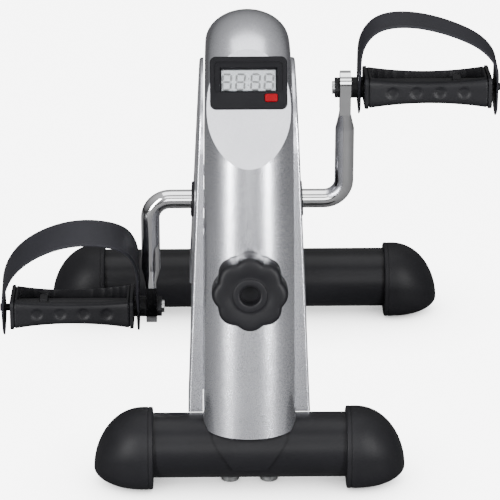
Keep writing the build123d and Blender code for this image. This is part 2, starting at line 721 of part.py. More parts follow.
def cheek(hand, label):
    """One cheek of the housing."""
    floor = HOUSING_BASE + 1
    above = CHEEK_TOP + 20
    outer = cheek_outline(CHEEK_INSET, floor)
    inner = cheek_outline(CHEEK_INSET + SHELL_WALL, floor - 5)
    bodies = []
    for wall, outline, low, deeper in (
        (0, outer, floor, 0),
        (SHELL_WALL, inner, floor - 5, 5),
    ):
        with BuildPart() as wedge:
            # the tapering slab, seen from the front
            with BuildSketch(Plane.XZ.offset(-HIGH / 2)):
                with BuildLine():
                    Polyline(
                        (cheek_inner(low) - deeper, low),
                        (cheek_half(low) - wall, low),
                        (cheek_half(above) - wall, above),
                        (cheek_inner(above) - deeper, above),
                        close=True,
                    )
                make_face()
            extrude(amount=HIGH)
            # its outline, seen from the side
            with BuildSketch(Plane.YZ):
                with BuildLine():
                    Polyline(tuple(outline[4])[:2], tuple(outline[0])[:2], tuple(outline[1])[:2])
                    ThreePointArc(
                        tuple(outline[1])[:2], tuple(outline[2])[:2], tuple(outline[3])[:2]
                    )
                    Line(tuple(outline[3])[:2], tuple(outline[4])[:2])
                make_face()
                half, rise = arch_points(wall)
                with Locations((0, HOUSING_BASE)):
                    Ellipse(half, rise, mode=Mode.SUBTRACT)
            extrude(amount=HIGH / 2, mode=Mode.INTERSECT)
            if wall == 0:
                face = wedge.faces().sort_by(Axis.X)[-1]
                rims = [e for e in face.outer_wire().edges() if e.center().Z > floor + 1]
                fillet(rims, CHEEK_EDGE)
        bodies.append(wedge.part)
    with BuildPart() as shell:
        add(bodies[0])
        add(bodies[1], mode=Mode.SUBTRACT)
        # the wall round the arch, out to the middle of the housing
        with BuildSketch(Plane.YZ.offset(ARCH_LIP)):
            with Locations((0, HOUSING_BASE)):
                Ellipse(ARCH_HALF + SHELL_WALL, ARCH_RISE + SHELL_WALL)
                Ellipse(ARCH_HALF, ARCH_RISE, mode=Mode.SUBTRACT)
            with Locations((0, floor - HIGH / 2)):
                Rectangle(HIGH, HIGH, mode=Mode.SUBTRACT)
        extrude(amount=CHEEK_IN + 2 - ARCH_LIP)
        # posts for the screws into the frame
        for y, z in SCREW_PLACES:
            wide = cheek_half(z)
            with BuildSketch(Plane.YZ.offset(PLATE_X + PLATE_THICKNESS + 0.2)):
                with Locations((y, z)):
                    Circle(4.5)
            extrude(amount=wide - SHELL_WALL / 2 - PLATE_X - PLATE_THICKNESS - 0.2)
            with BuildSketch(Plane.YZ.offset(PLATE_X)):
                with Locations((y, z)):
                    Circle(2)
            extrude(amount=30, mode=Mode.SUBTRACT)
            with BuildSketch(Plane.YZ.offset(wide - 3)):
                with Locations((y, z)):
                    Circle(3.8)
            extrude(amount=10, mode=Mode.SUBTRACT)
        # hole for the crank
        with BuildSketch(Plane.YZ.offset(CHEEK_IN - 6)):
            with Locations((AXLE_Y, AXLE_Z)):
                Circle(GROMMET_NECK)
        extrude(amount=20, mode=Mode.SUBTRACT)
        add(tube_room.part, mode=Mode.SUBTRACT)
    with BuildPart() as placed:
        add(shell.part if hand > 0 else mirror(shell.part, about=Plane.YZ, mode=Mode.PRIVATE))
    save(placed, label)


cheek(-1, "left_shell")
cheek(1, "right_shell")

AXLE_HALF = cheek_half(AXLE_Z)
for hand, side_name in ((-1, "left"), (1, "right")):
    facing = Plane(
        origin=(hand * AXLE_HALF, AXLE_Y, AXLE_Z),
        x_dir=(0, 1, 0),
        z_dir=(hand * cos(CHEEK_SLOPE), 0, sin(CHEEK_SLOPE)),
    )
    with BuildPart() as grommet:
        with BuildSketch(facing.offset(0.1)):
            Circle(GROMMET_FLANGE)
        extrude(amount=2.2)
        fillet(grommet.faces().sort_by(Axis.X)[-1 if hand > 0 else 0].edges(), 1.2)
        with BuildSketch(facing.offset(0.1)):
            Circle(GROMMET_NECK - 0.4)
        extrude(amount=-SHELL_WALL - 1.5)
        with BuildSketch(Plane.YZ.offset(hand * (AXLE_HALF - 12))):
            with Locations((AXLE_Y, AXLE_Z)):
                Circle(ROD_RADIUS + 0.8)
        extrude(amount=hand * 24, mode=Mode.SUBTRACT)
    save(grommet, f"{side_name}_grommet")

with BuildPart() as shell_screws:
    for hand in (-1, 1):
        for y, z in SCREW_PLACES:
            wide = cheek_half(z)
            with BuildSketch(Plane.YZ.offset(hand * (wide - 3))):
                with Locations((y, z)):
                    Circle(3.4)
            extrude(amount=hand * 2)
            with BuildSketch(Plane.YZ.offset(hand * (PLATE_X + PLATE_THICKNESS))):
                with Locations((y, z)):
                    Circle(1.8)
            extrude(amount=hand * (wide - 3 - PLATE_X - PLATE_THICKNESS))
save(shell_screws, "shell_screws")

# ---------------------------------------------------------------- display
BUTTON_GAP = 0.3
with BuildPart() as console:
    with BuildSketch(CONSOLE_PLANE):
        RectangleRounded(CONSOLE_WIDTH, CONSOLE_HEIGHT, CONSOLE_CORNER)
    extrude(amount=CONSOLE_PROUD)
    fillet(console.faces().sort_by(Axis(CONSOLE_PLANE.origin, CONSOLE_PLANE.z_dir))[-1].edges(), 1.2)
    with BuildSketch(CONSOLE_PLANE):
        RectangleRounded(CONSOLE_WIDTH - 3, CONSOLE_HEIGHT - 3, CONSOLE_CORNER - 1.5)
    extrude(amount=-CONSOLE_DEPTH)
    # room for the board and the battery, open to the back
    with BuildSketch(CONSOLE_PLANE.offset(-CONSOLE_DEPTH)):
        RectangleRounded(CONSOLE_WIDTH - 7, CONSOLE_HEIGHT - 7, CONSOLE_CORNER - 3)
    extrude(amount=CONSOLE_DEPTH - 3, mode=Mode.SUBTRACT)
    # shallow recess, then the window with a sloping frame
    with BuildSketch(CONSOLE_PLANE.offset(CONSOLE_PROUD)):
        with Locations((0, SURROUND_UP)):
            RectangleRounded(*SURROUND, 3)
    extrude(amount=-SURROUND_DEPTH, mode=Mode.SUBTRACT)
    with BuildSketch(CONSOLE_PLANE.offset(CONSOLE_PROUD)):
        with Locations((0, WINDOW_UP)):
            Rectangle(WINDOW_WIDTH, WINDOW_HEIGHT)
    extrude(amount=-CONSOLE_PROUD - 4, taper=20, mode=Mode.SUBTRACT)
    # hole for the button
    with BuildSketch(CONSOLE_PLANE.offset(CONSOLE_PROUD)):
        with Locations(BUTTON_AT):
            RectangleRounded(BUTTON_SIZE[0] + 2 * BUTTON_GAP, BUTTON_SIZE[1] + 2 * BUTTON_GAP, 1.6)
    extrude(amount=-CONSOLE_PROUD - 4, mode=Mode.SUBTRACT)
save(console, "console_housing")

with BuildPart() as panel:
    with BuildSketch(CONSOLE_PLANE.offset(-3.2)):
        with Locations((0, WINDOW_UP)):
            Rectangle(WINDOW_WIDTH - 1, WINDOW_HEIGHT + 1)
    extrude(amount=-2)
save(panel, "display_panel")

with BuildPart() as lens:
    with BuildSketch(CONSOLE_PLANE.offset(-0.6)):
        with Locations((0, WINDOW_UP)):
            Rectangle(WINDOW_WIDTH - 3.4, WINDOW_HEIGHT - 3.4)
    extrude(amount=-1)
save(lens, "display_lens")

with BuildPart() as board:
    with BuildSketch(CONSOLE_PLANE.offset(-7.4)):
        RectangleRounded(CONSOLE_WIDTH - 9, CONSOLE_HEIGHT - 9, CONSOLE_CORNER - 3)
    extrude(amount=-1.4)
save(board, "display_board")

with BuildPart() as battery:
    with BuildSketch(CONSOLE_PLANE.offset(-9)):
        with Locations((-8, 0)):
            Circle(10)
    extrude(amount=-2.8)
save(battery, "console_battery")

BUTTON_LOW = -3.4
with BuildPart() as button:
    with BuildSketch(CONSOLE_PLANE.offset(BUTTON_LOW)):
        with Locations(BUTTON_AT):
            RectangleRounded(*BUTTON_SIZE, 1.4)
    extrude(amount=CONSOLE_PROUD + 1.4 - BUTTON_LOW)
    fillet(button.faces().sort_by(Axis(CONSOLE_PLANE.origin, CONSOLE_PLANE.z_dir))[-1].edges(), 0.8)
    with BuildSketch(CONSOLE_PLANE.offset(BUTTON_LOW)):
        with Locations(BUTTON_AT):
            RectangleRounded(BUTTON_SIZE[0] + 2, BUTTON_SIZE[1] + 1.6, 1.4)
    extrude(amount=-0.8)
save(button, "reset_button")

with BuildPart() as dome:
    with BuildSketch(CONSOLE_PLANE.offset(-7.3)):
        with Locations(BUTTON_AT):
            Circle(2.5)
            Circle(1.7, mode=Mode.SUBTRACT)
    extrude(amount=7.3 + BUTTON_LOW - 0.8 - 0.1)
save(dome, "button_spring")

# ---------------------------------------------------------------- speed sensor and its lead
SENSOR_AT = (AXLE_Y - 24, AXLE_Z)
with BuildPart() as sensor:
    with BuildSketch(Plane.YZ.offset(PLATE_X - 9)):
        with Locations(SENSOR_AT):
            Rectangle(10, 14)
    extrude(amount=8.9)
save(sensor, "reed_sensor")

LEAD_RADIUS = 1.2
LEAD_END = CONSOLE_PLANE.from_local_coords((14, -6, -8.9))
LEAD_IN = CONSOLE_PLANE.from_local_coords((14, -6, -24))
LEAD_X = PLATE_X - 4.5
LEAD_ROUTE = [
    (LEAD_X, SENSOR_AT[0], SENSOR_AT[1] + 7.1),
    (LEAD_X, SENSOR_AT[0], SENSOR_AT[1] + 46),
    (LEAD_X, SENSOR_AT[0] - 26, SENSOR_AT[1] + 78),
    tuple(LEAD_IN),
    tuple(LEAD_END),
]
with BuildPart() as lead:
    with BuildLine() as route:
        FilletPolyline(*LEAD_ROUTE, radius=8)
    with BuildSketch(Plane(origin=LEAD_ROUTE[0], z_dir=(0, 0, 1))):
        Circle(LEAD_RADIUS)
    sweep()
save(lead, "sensor_lead")


# ---------------------------------------------------------------- pedals
STRAP_IN = 87.0                 # middle of the strap's inner end, clear of the crank arm
PEG_RADIUS = 3.0
PEG_END = 198.0                 # outermost point of the whole exerciser
RIGHT_ROUTE = [
    (STRAP_IN, -21), (STRAP_IN, 4), (STRAP_IN, 20), (89, 38), (99, 52),
    (118, 57), (142, 54), (165, 46), (183, 35), (192, 22), (193.4, 8), (193.4, -23),
]
LEFT_ROUTE = [
    (STRAP_IN, -21), (STRAP_IN, 8), (STRAP_IN, 32), (88, 54), (96, 71),
    (114, 79), (138, 79), (163, 69), (184, 49), (194, 22), (195, 0), (195, -25),
]


def pedal(hand, side_name, lean, route_points):
    """All the pieces round one spindle."""
    spindle = AXLE_Z + hand * CRANK_RADIUS
    pedal_out = PEDAL_IN + PEDAL_LENGTH
    palm_in = ARM_X - PALM_THICKNESS / 2
    palm_out = ARM_X + PALM_THICKNESS / 2
    # across the pedal, looking out along the spindle
    tilted = Plane(
        origin=(0, AXLE_Y, spindle),
        x_dir=(0, cos(radians(PEDAL_TILT)), -sin(radians(PEDAL_TILT))),
        z_dir=(hand, 0, 0),
    )
    # flat along the pedal's top
    level = Plane(
        origin=(hand * (PEDAL_IN + PEDAL_LENGTH / 2), AXLE_Y, spindle),
        x_dir=(hand, 0, 0),
        z_dir=(0, sin(radians(PEDAL_TILT)), cos(radians(PEDAL_TILT))),
    )
    with BuildPart() as body:
        for share in (0, 0.25, 0.5, 0.75, 1):
            waist = 1 - (2 * share - 1) ** 2
            deep = PEDAL_DEPTH * (1 - (1 - PEDAL_WAIST[0]) * waist)
            high = PEDAL_HEIGHT * (1 - (1 - PEDAL_WAIST[1]) * waist)
            with BuildSketch(tilted.offset(PEDAL_IN + share * PEDAL_LENGTH)):
                RectangleRounded(deep, high, PEDAL_CORNER)
        loft()
        # a trough open to the top: deep either side of the spindle's tube, shallow over it
        trough = PEDAL_LENGTH - 2 * PEDAL_WALL
        pocket_row = SPINDLE_RADIUS + PEDAL_WALL + PEDAL_POCKET / 2
        with BuildSketch(level.offset(PEDAL_WALL - PEDAL_HEIGHT * PEDAL_WAIST[1] / 2)):
            for row in (-pocket_row, pocket_row):
                with Locations((0, row)):
                    RectangleRounded(trough, PEDAL_POCKET, 2)
            with Locations((PEDAL_RIB_AT, 0)):
                Rectangle(PEDAL_RIB, PEDAL_DEPTH, mode=Mode.SUBTRACT)
        extrude(amount=PEDAL_HEIGHT, mode=Mode.SUBTRACT)
        with BuildSketch(level.offset(SPINDLE_RADIUS + PEDAL_WALL - 0.8)):
            RectangleRounded(trough, 2 * pocket_row + PEDAL_POCKET, 2)
        extrude(amount=PEDAL_HEIGHT, mode=Mode.SUBTRACT)
        with BuildSketch(Plane.YZ.offset(hand * (PEDAL_IN - 2))):
            with Locations((AXLE_Y, spindle)):
                Circle(SPINDLE_RADIUS + RUNNING_GAP)
        extrude(amount=hand * (PEDAL_LENGTH - 3), mode=Mode.SUBTRACT)
    save(body, f"{side_name}_pedal_body")

    with BuildPart() as inner:
        with BuildSketch(tilted.offset(PEDAL_IN)):
            RectangleRounded(PEDAL_DEPTH, PEDAL_HEIGHT, PEDAL_CORNER)
        extrude(amount=-END_THICKNESS)
        fillet(inner.faces().sort_by(Axis.X)[0 if hand > 0 else -1].edges(), 1)
        with BuildSketch(tilted.offset(PEDAL_IN)):
            Circle(BOSS_RADIUS + FREE_GAP)
        extrude(amount=-END_THICKNESS, mode=Mode.SUBTRACT)
    save(inner, f"{side_name}_pedal_inner_end")

    with BuildPart() as outer:
        with BuildSketch(tilted.offset(pedal_out)):
            RectangleRounded(PEDAL_DEPTH, PEDAL_HEIGHT, PEDAL_CORNER)
        extrude(amount=END_THICKNESS)
        fillet(outer.faces().sort_by(Axis.X)[-1 if hand > 0 else 0].edges(), 1)
        with BuildSketch(tilted.offset(pedal_out + END_THICKNESS)):
            Circle(PEG_RADIUS)
        extrude(amount=PEG_END - pedal_out - END_THICKNESS)
    save(outer, f"{side_name}_pedal_outer_end")

    with BuildPart() as pin:
        with BuildSketch(Plane.YZ.offset(hand * (palm_in - 6))):
            with Locations((AXLE_Y, spindle)):
                Circle(SPINDLE_RADIUS)
        extrude(amount=hand * (pedal_out - 6 - palm_in + 6))
    save(pin, f"{side_name}_pedal_spindle")
    with BuildPart() as boss:
        with BuildSketch(Plane.YZ.offset(hand * palm_out)):
            with Locations((AXLE_Y, spindle)):
                Circle(BOSS_RADIUS)
                Circle(SPINDLE_RADIUS, mode=Mode.SUBTRACT)
        extrude(amount=hand * (PEDAL_IN - FREE_GAP - palm_out))
    save(boss, f"{side_name}_pedal_boss")
    with BuildPart() as lock_nut:
        with BuildSketch(Plane.YZ.offset(hand * palm_in)):
            with Locations((AXLE_Y, spindle)):
                RegularPolygon(8, 6)
                Circle(SPINDLE_RADIUS, mode=Mode.SUBTRACT)
        extrude(amount=-hand * 4)
    save(lock_nut, f"{side_name}_spindle_nut")

    # the strap: a band of even thickness along its route, leaning to the front
    upright = Plane(
        origin=(0, AXLE_Y, spindle),
        x_dir=(hand, 0, 0),
        z_dir=(0, -hand * cos(radians(lean)), -hand * sin(radians(lean))),
    )
    across = Plane(
        origin=(0, AXLE_Y, spindle),
        x_dir=(0, cos(radians(lean)), sin(radians(lean))),
        z_dir=(hand, 0, 0),
    )
    route = Spline(*route_points, mode=Mode.PRIVATE)
    stations = [station / 24 for station in range(25)]
    spots = [
        (route @ t, (route % t).rotate(Axis.Z, 90) * (STRAP_THICKNESS / 2)) for t in stations
    ]
    with BuildPart() as strap:
        with BuildSketch(upright.offset(-STRAP_WIDTH / 2)):
            with BuildLine():
                one = Spline(*[spot + half for spot, half in spots])
                two = Spline(*[spot - half for spot, half in spots])
                Line(one @ 0, two @ 0)
                Line(one @ 1, two @ 1)
            make_face()
        extrude(amount=STRAP_WIDTH)
        # hole round the boss at the inner end, and round the peg at the outer end
        with BuildSketch(across.offset(palm_out)):
            Circle(BOSS_RADIUS + FREE_GAP)
        extrude(amount=PEDAL_IN - palm_out, mode=Mode.SUBTRACT)
        with BuildSketch(across.offset(pedal_out)):
            Circle(PEG_RADIUS + 0.3)
        extrude(amount=20, mode=Mode.SUBTRACT)
    save(strap, f"{side_name}_strap")


pedal(1, "right", RIGHT_LEAN, RIGHT_ROUTE)
pedal(-1, "left", LEFT_LEAN, LEFT_ROUTE)
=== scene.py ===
# %% [markdown]
# # A pedal exerciser on a pale studio floor
# The metal frame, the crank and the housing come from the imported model. This file gives them their
# finishes, and models again, as numpy surfaces, the soft or moulded pieces whose look needs more than
# a plain solid. Everything is in the model's own frame: X right, Y away from the user, Z up, the floor
# at zero. The scene is in metres; shapes are worked out in millimetres and turned to metres once.

# %% Load the frame
import json
import bmesh
import bpy
import numpy as np
from math import cos, pi, radians, sin
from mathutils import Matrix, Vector


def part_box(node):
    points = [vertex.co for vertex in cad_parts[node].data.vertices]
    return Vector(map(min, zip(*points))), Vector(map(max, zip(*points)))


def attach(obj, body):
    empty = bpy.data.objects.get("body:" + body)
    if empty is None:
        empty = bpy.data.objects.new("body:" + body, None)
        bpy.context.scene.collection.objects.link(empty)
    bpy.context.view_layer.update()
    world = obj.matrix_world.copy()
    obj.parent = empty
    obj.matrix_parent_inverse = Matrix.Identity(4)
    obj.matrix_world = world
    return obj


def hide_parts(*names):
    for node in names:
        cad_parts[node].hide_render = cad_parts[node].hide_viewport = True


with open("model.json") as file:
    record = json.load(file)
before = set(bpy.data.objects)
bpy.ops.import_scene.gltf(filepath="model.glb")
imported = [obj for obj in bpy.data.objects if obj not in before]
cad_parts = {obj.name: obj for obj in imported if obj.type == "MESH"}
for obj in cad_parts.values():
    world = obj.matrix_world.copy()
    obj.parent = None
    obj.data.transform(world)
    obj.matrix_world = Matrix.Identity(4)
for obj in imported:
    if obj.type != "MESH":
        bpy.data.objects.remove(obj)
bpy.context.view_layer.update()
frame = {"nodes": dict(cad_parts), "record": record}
NODES = frame["nodes"]
MM = 0.001

# %% [markdown]
# ## Small helpers
# A colour is written as the hex value a designer would pick, and turned to linear light once. A shader
# node is added by one function that also sets its values and makes its links.


# %% Helpers for colours, nodes and meshes
def linear(hex_colour):
    """sRGB hex to linear RGBA: c becomes ((c + 0.055) / 1.055) ** 2.4, or c / 12.92 when dark."""
    value = np.array([int(hex_colour[i : i + 2], 16) for i in (1, 3, 5)]) / 255
    light = np.where(value <= 0.04045, value / 12.92, ((value + 0.055) / 1.055) ** 2.4)
    return (*light.tolist(), 1.0)


def add(tree, kind, links=(), values=(), **settings):
    """Adds one node, sets its settings and input values, and links (input, source socket) pairs."""
    made = tree.nodes.new(kind)
    for key, value in settings.items():
        setattr(made, key, value)
    for name, value in dict(values).items():
        made.inputs[name].default_value = value
    for name, source in dict(links).items():
        tree.links.new(source, made.inputs[name])
    return made


def new_material(name):
    """An empty node material: its tree, its shader and its Object coordinates."""
    made = bpy.data.materials.new(name)
    made.use_nodes = True
    tree = made.node_tree
    tree.nodes.clear()
    shader = add(tree, "ShaderNodeBsdfPrincipled")
    add(tree, "ShaderNodeOutputMaterial", links={"Surface": shader.outputs["BSDF"]})
    place = add(tree, "ShaderNodeTexCoord").outputs["Object"]
    return made, tree, shader, place


def set_shader(shader, **values):
    """Sets the shader's own sockets, named with underscores for spaces."""
    for name, value in values.items():
        shader.inputs[name.replace("_", " ")].default_value = value


def grain(tree, place, size_mm, detail=3.0):
    """Noise from 0 to 1 with cells size_mm across: the node's scale is cells per metre here."""
    return add(
        tree,
        "ShaderNodeTexNoise",
        links={"Vector": place},
        values={"Scale": 1 / (size_mm * MM), "Detail": detail},
    ).outputs["Fac"]


def bump(tree, height, shader, depth_mm):
    """Turns a 0 to 1 height into a bump depth_mm deep on the shader."""
    made = add(
        tree,
        "ShaderNodeBump",
        links={"Height": height},
        values={"Strength": 1.0, "Distance": depth_mm * MM},
    )
    tree.links.new(made.outputs["Normal"], shader.inputs["Normal"])


def spread(tree, source, low, high, from_low=0.3, from_high=0.7):
    """Maps from_low .. from_high to low .. high; noise mostly lies from 0.3 to 0.7."""
    return add(
        tree,
        "ShaderNodeMapRange",
        links={"Value": source},
        values={"From Min": from_low, "From Max": from_high, "To Min": low, "To Max": high},
    ).outputs["Result"]


def shade_between(tree, factor, dark, light):
    """A colour between two hex colours: dark where the factor is 0, light where it is 1."""
    made = add(tree, "ShaderNodeMix", data_type="RGBA")
    tree.links.new(factor, made.inputs["Factor"])
    made.inputs["A"].default_value = linear(dark)
    made.inputs["B"].default_value = linear(light)
    return made.outputs["Result"]


# %% [markdown]
# ## Camera, floor and light
# A long lens from the user's side, 25 degrees above the floor, keeps the upright lines upright. Two
# tall soft lights stand left and right of the camera: on the rounded strip they draw two pale stripes
# with a darker line between them. A wide light overhead fills the top, and the floor is a pale sheet
# that glows to the eye, with a painted contact shadow, and painted shade far off for the reflections.

# %% Camera
AIM = Vector((2.2, -25.15, 139.2)) * MM
DISTANCE = 2.373
ELEVATION = radians(25)
AZIMUTH = radians(-0.87)
FOCAL_LENGTH = 216.3
SENSOR_WIDTH = 36
camera = bpy.data.objects.new("camera", bpy.data.cameras.new("camera"))
bpy.context.scene.collection.objects.link(camera)
back = Vector((sin(AZIMUTH) * cos(ELEVATION), -cos(AZIMUTH) * cos(ELEVATION), sin(ELEVATION)))
camera.location = AIM + back * DISTANCE
camera.rotation_euler = (-back).to_track_quat("-Z", "Y").to_euler()
camera.data.sensor_width = SENSOR_WIDTH
camera.data.lens = FOCAL_LENGTH
camera.data.clip_end = 50
bpy.context.scene.camera = camera


# %% Lights and floor
LOOK_AT = Vector((0, 0, 0.15))


def soft_light(name, place, size, power):
    """A rectangular light at place, turned to face the middle of the machine."""
    data = bpy.data.lights.new(name, "AREA")
    data.shape = "RECTANGLE"
    data.size, data.size_y = size
    data.energy = power
    made = bpy.data.objects.new(name, data)
    bpy.context.scene.collection.objects.link(made)
    made.location = place
    made.rotation_euler = (LOOK_AT - Vector(place)).to_track_quat("-Z", "Y").to_euler()


soft_light("left_softbox", (-1.25, -1.75, 0.75), (0.36, 1.9), 120)
soft_light("right_softbox", (1.25, -1.75, 0.75), (0.36, 1.9), 112)
soft_light("overhead", (0, 0.3, 2.2), (1.8, 1.8), 34)
soft_light("front_fill", (0, -2.6, 0.75), (0.9, 1.1), 16)
soft_light("high_front", (0, -1.6, 1.85), (1.3, 0.7), 9)

# a white room that is nearly dark at the horizon and bright above
world = bpy.data.worlds.new("studio")
bpy.context.scene.world = world
world.use_nodes = True
sky = world.node_tree
room = sky.nodes["Background"]
room.inputs["Color"].default_value = linear("#FFFFFF")
gaze = add(sky, "ShaderNodeTexCoord").outputs["Generated"]
upward = add(sky, "ShaderNodeSeparateXYZ", links={0: gaze}).outputs["Z"]
sky.links.new(spread(sky, upward, 0.05, 0.75, -0.1, 0.8), room.inputs["Strength"])

REACH = 12.0
FLOOR_GLOW = 7.0
# how far the painted contact shadow on the floor reaches
PAINTED_SHADOW_REACH = 0.07
floor_mesh = bpy.data.meshes.new("floor")
corners = [(-REACH, -REACH, 0), (REACH, -REACH, 0), (REACH, REACH, 0), (-REACH, REACH, 0)]
floor_mesh.from_pydata(corners, [], [(0, 1, 2, 3)])
floor = bpy.data.objects.new("floor", floor_mesh)
bpy.context.scene.collection.objects.link(floor)
paper, tree, shader, place = new_material("pale_paper")
set_shader(shader, Roughness=0.9, Specular_IOR_Level=0.1, Emission_Color=linear("#FFFFFF"))
# painted shade: the sheet darkens from 0.7 to 1.5 m off the middle, so that the strip's front mirrors a
# darker floor
distance = add(tree, "ShaderNodeVectorMath", links={0: place}, operation="LENGTH").outputs["Value"]
reflection_falloff = spread(tree, distance, 1.0, 0.0, 0.7, 1.5)
tree.links.new(shade_between(tree, reflection_falloff, "#262626", "#5E5E5E"), shader.inputs["Base Color"])
# the sheet glows as if lit from behind, seen by the eye only; a painted contact shadow dims it
# within 70 mm of whatever stands on it
occlusion = add(tree, "ShaderNodeAmbientOcclusion", values={"Distance": PAINTED_SHADOW_REACH}, samples=8)
seen = add(tree, "ShaderNodeLightPath").outputs["Is Camera Ray"]
painted_shadow_inputs = {0: occlusion.outputs["AO"], 1: seen}
glow = add(tree, "ShaderNodeMath", links=painted_shadow_inputs, operation="MULTIPLY").outputs[0]
glow = add(tree, "ShaderNodeMath", links={0: glow}, values={1: FLOOR_GLOW}, operation="MULTIPLY")
tree.links.new(glow.outputs[0], shader.inputs["Emission Strength"])
floor.data.materials.append(paper)

# %% [markdown]
# ## Finishes
# Each finish is named for what the real surface is, and its comment says what that gives the eye.


# %% Silver paint on moulded ABS
def silver_paint():
    """Metallic basecoat under a satin clear coat: fine flakes that scatter a broad, soft highlight."""
    made, tree, shader, place = new_material("silver_metallic_paint")
    # real flakes are 0.02 mm; drawn at 0.35 mm so that they show
    flakes = grain(tree, place, 0.35, 1.0)
    cloud = grain(tree, place, 40)
    tone = shade_between(tree, spread(tree, cloud, 0, 1), "#BDBEC4", "#C7C8CE")
    tree.links.new(tone, shader.inputs["Base Color"])
    tree.links.new(spread(tree, flakes, 0.22, 0.32), shader.inputs["Roughness"])
    set_shader(shader, Metallic=0.95, Coat_Weight=0.15, Coat_Roughness=0.25)
    # moulded parts have a very faint ripple, about 12 mm long
    bump(tree, grain(tree, place, 12, 1.0), shader, 0.02)
    return made


# %% Chrome on the bent rod
def chrome_plate():
    """Bright chrome on steel: a mirror, with faint polishing marks and slightly duller patches."""
    made, tree, shader, place = new_material("chrome_plate")
    wear = grain(tree, place, 9)
    tree.links.new(shade_between(tree, wear, "#D2D2D4", "#E6E6E8"), shader.inputs["Base Color"])
    tree.links.new(spread(tree, wear, 0.05, 0.11), shader.inputs["Roughness"])
    set_shader(shader, Metallic=1.0)
    bump(tree, grain(tree, place, 0.6, 2.0), shader, 0.002)
    return made


# %% Zinc-plated steel of nuts, bolts and bosses
def zinc_plate():
    """Zinc plating: grey, a little cloudy, with a soft metal gloss."""
    made, tree, shader, place = new_material("zinc_plate")
    cloud = grain(tree, place, 3)
    tree.links.new(shade_between(tree, cloud, "#8E8F90", "#B4B5B6"), shader.inputs["Base Color"])
    tree.links.new(spread(tree, cloud, 0.25, 0.42), shader.inputs["Roughness"])
    set_shader(shader, Metallic=1.0)
    return made


# %% Powder coat on the tubes
def powder_coat():
    """Baked powder: satin black with the fine orange peel that powder leaves, 0.9 mm across."""
    made, tree, shader, place = new_material("black_powder_coat")
    peel = grain(tree, place, 0.9, 2.0)
    tone = grain(tree, place, 25)
    tree.links.new(shade_between(tree, tone, "#0E0E10", "#141416"), shader.inputs["Base Color"])
    tree.links.new(spread(tree, peel, 0.3, 0.42), shader.inputs["Roughness"])
    set_shader(shader, Specular_IOR_Level=0.12)
    bump(tree, peel, shader, 0.03)
    return made


# %% Moulded rubber and plastics
def moulded(name, dark, light, rough, grain_mm, depth_mm, specular=0.1, sheen=0.0):
    """A moulded polymer: two close tones, a fine texture grain_mm across, and edges a little paler."""
    made, tree, shader, place = new_material(name)
    texture = grain(tree, place, grain_mm, 2.0)
    tone = grain(tree, place, 18)
    edge = add(tree, "ShaderNodeNewGeometry").outputs["Pointiness"]
    # convex edges, read from the mesh's pointiness, are drawn a little paler
    paler_edge = spread(tree, edge, 0.0, 0.5, 0.5, 0.62)
    mixed = add(tree, "ShaderNodeMath", links={0: tone, 1: paler_edge}, operation="ADD").outputs[0]
    tree.links.new(shade_between(tree, mixed, dark, light), shader.inputs["Base Color"])
    gloss = spread(tree, texture, rough - 0.06, rough + 0.08)
    tree.links.new(gloss, shader.inputs["Roughness"])
    set_shader(shader, Specular_IOR_Level=specular, Sheen_Weight=sheen)
    bump(tree, texture, shader, depth_mm)
    return made


def clear_acrylic():
    """A thin clear window over the display."""
    made, tree, shader, place = new_material("clear_acrylic")
    smear = grain(tree, place, 6)
    tree.links.new(spread(tree, smear, 0.03, 0.12), shader.inputs["Roughness"])
    set_shader(shader, Base_Color=linear("#E8ECEE"), Alpha=0.06, IOR=1.49)
    return made


# %% Give every node its finish
FINISH = {
    "silver_shell": silver_paint(),
    "chrome": chrome_plate(),
    "zinc_steel": zinc_plate(),
    "powder_coat": powder_coat(),
    "black_rubber": moulded("black_rubber", "#0D0D0F", "#151517", 0.5, 0.7, 0.03),
    "black_plastic": moulded("black_polypropylene", "#0D0D0F", "#161618", 0.42, 0.5, 0.02),
    "strap_vinyl": moulded("soft_vinyl", "#19191C", "#202024", 0.5, 0.4, 0.02),
    "nylon": moulded("natural_nylon", "#D9D6C8", "#E6E3D6", 0.45, 0.8, 0.01),
    "cast_drum": zinc_plate(),
    "felt": moulded("wool_felt", "#3A3A3A", "#5A5A58", 0.95, 0.5, 0.2, sheen=0.4),
    "bezel_plastic": moulded(
        "charcoal_abs", "#0C0C0E", "#131315", 0.45, 0.35, 0.015, specular=0.05
    ),
    "display_glass": clear_acrylic(),
    "display": moulded("reflective_display", "#777B7F", "#84888C", 0.35, 3.0, 0.002),
    "board": moulded("solder_resist", "#0E3B20", "#12502A", 0.4, 1.0, 0.01),
    "red_button": moulded("red_abs", "#5E040B", "#6A060F", 0.4, 0.5, 0.01, specular=0.05),
    "lead_vinyl": moulded("lead_vinyl", "#151515", "#1E1E1E", 0.45, 0.5, 0.01),
}
SLOT_OF = {part["node"]: part["material_slot"] for part in frame["record"]["subparts"]}
for name, node in NODES.items():
    node.data.materials.clear()
    node.data.materials.append(FINISH[SLOT_OF[name]])
print("finished", len(NODES), "nodes")

# %% [markdown]
# ## Numpy surfaces
# A new piece is a stack of closed rings: quads join neighbouring rings, and a fan of triangles closes
# each end on one point. A whole piece is one array, so that a shape is a formula over the array. Only
# the display's digits are separate plates, and they are one array too.


# %% Helpers for numpy surfaces
SHARP_ANGLE = radians(40)


def mesh_object(name, points, faces):
    """An object from points in millimetres and faces: faces outward, smooth but at sharp edges."""
    mesh = bpy.data.meshes.new(name)
    mesh.from_pydata((np.asarray(points) * MM).tolist(), [], faces)
    shell = bmesh.new()
    shell.from_mesh(mesh)
    bmesh.ops.recalc_face_normals(shell, faces=shell.faces)
    shell.to_mesh(mesh)
    shell.free()
    mesh.polygons.foreach_set("use_smooth", np.ones(len(mesh.polygons), bool))
    mesh.set_sharp_from_angle(angle=SHARP_ANGLE)
    made = bpy.data.objects.new(name, mesh)
    bpy.context.scene.collection.objects.link(made)
    return made


